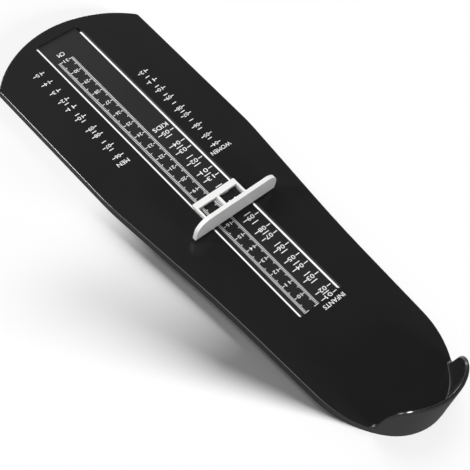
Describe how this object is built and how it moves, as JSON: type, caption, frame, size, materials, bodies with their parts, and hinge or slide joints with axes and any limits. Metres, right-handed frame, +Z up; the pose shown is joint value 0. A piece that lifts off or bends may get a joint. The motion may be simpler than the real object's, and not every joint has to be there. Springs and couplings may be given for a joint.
{
  "type": "foot measuring device",
  "caption": "Flat foot gauge: a sole-shaped board with a raised heel cup, long slots and a sliding toe stop whose frame reads a printed length scale.",
  "frame": {"origin": "centre of the outer box in X and Y, on the plane that the skirt rests on", "axes": "+Y from heel to toe, +X to the right of a foot that stands on the gauge, +Z up"},
  "size_m": [0.1094, 0.3398, 0.0326],
  "materials": {
    "sole": "black ABS, fine satin grain",
    "stop": "white moulded plastic, semi-gloss",
    "keeper": "natural acetal, satin"
  },
  "bodies": {
    "base": {"base_plate": "sole"},
    "slider": {"toe_slider": "stop", "slider_keeper": "keeper"}
  },
  "joints": [
    {"name": "toe_slide", "type": "slide", "parent": "base", "child": "slider", "axis": [0, 1, 0], "range_m": [-0.0747, 0.1488]}
  ]
}
